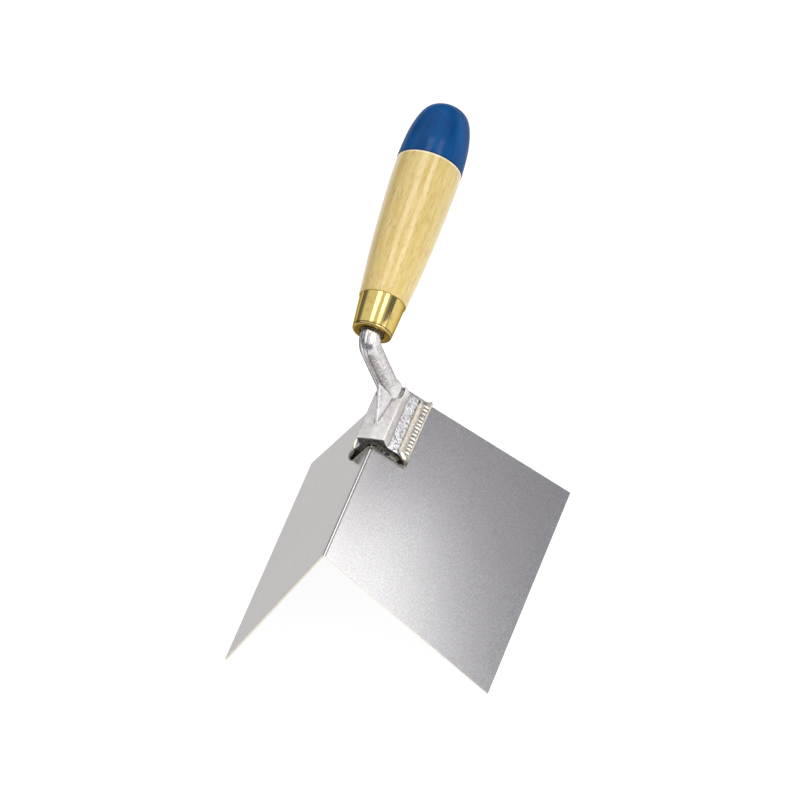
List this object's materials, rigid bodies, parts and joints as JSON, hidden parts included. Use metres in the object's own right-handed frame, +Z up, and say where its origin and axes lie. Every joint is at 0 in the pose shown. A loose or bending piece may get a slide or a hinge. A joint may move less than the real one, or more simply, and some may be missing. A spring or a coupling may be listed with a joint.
{
  "type": "outside corner trowel",
  "caption": "Outside corner trowel: a folded sheet blade, a cast shank crimped into a folded bracket, and a turned wooden handle with a metal ferrule and a lacquered end.",
  "frame": {"origin": "centre of the bounding box in X and Y, on the plane that the wings' outer edges stand on", "axes": "+Y along the fold from the blade's front towards the handle, +X across the fold, +Z up from the wings' outer edges towards the handle; the mirror plane is x = 0"},
  "size_m": [0.1504, 0.2628, 0.1554],
  "materials": {
    "blade_steel": "satin",
    "plated_steel": "semi-bright plating",
    "weld_steel": "fused",
    "cast_aluminium": "as cast, tumbled",
    "ferrule_brass": "polished",
    "beech": "clear varnish",
    "blue_lacquer": "gloss"
  },
  "bodies": {
    "root": {"blade": "blade_steel", "mounting_bracket": "plated_steel", "spot_welds": "weld_steel", "shank_casting": "cast_aluminium", "ferrule": "ferrule_brass", "handle": "beech", "handle_end_dip": "blue_lacquer"}
  },
  "joints": []
}
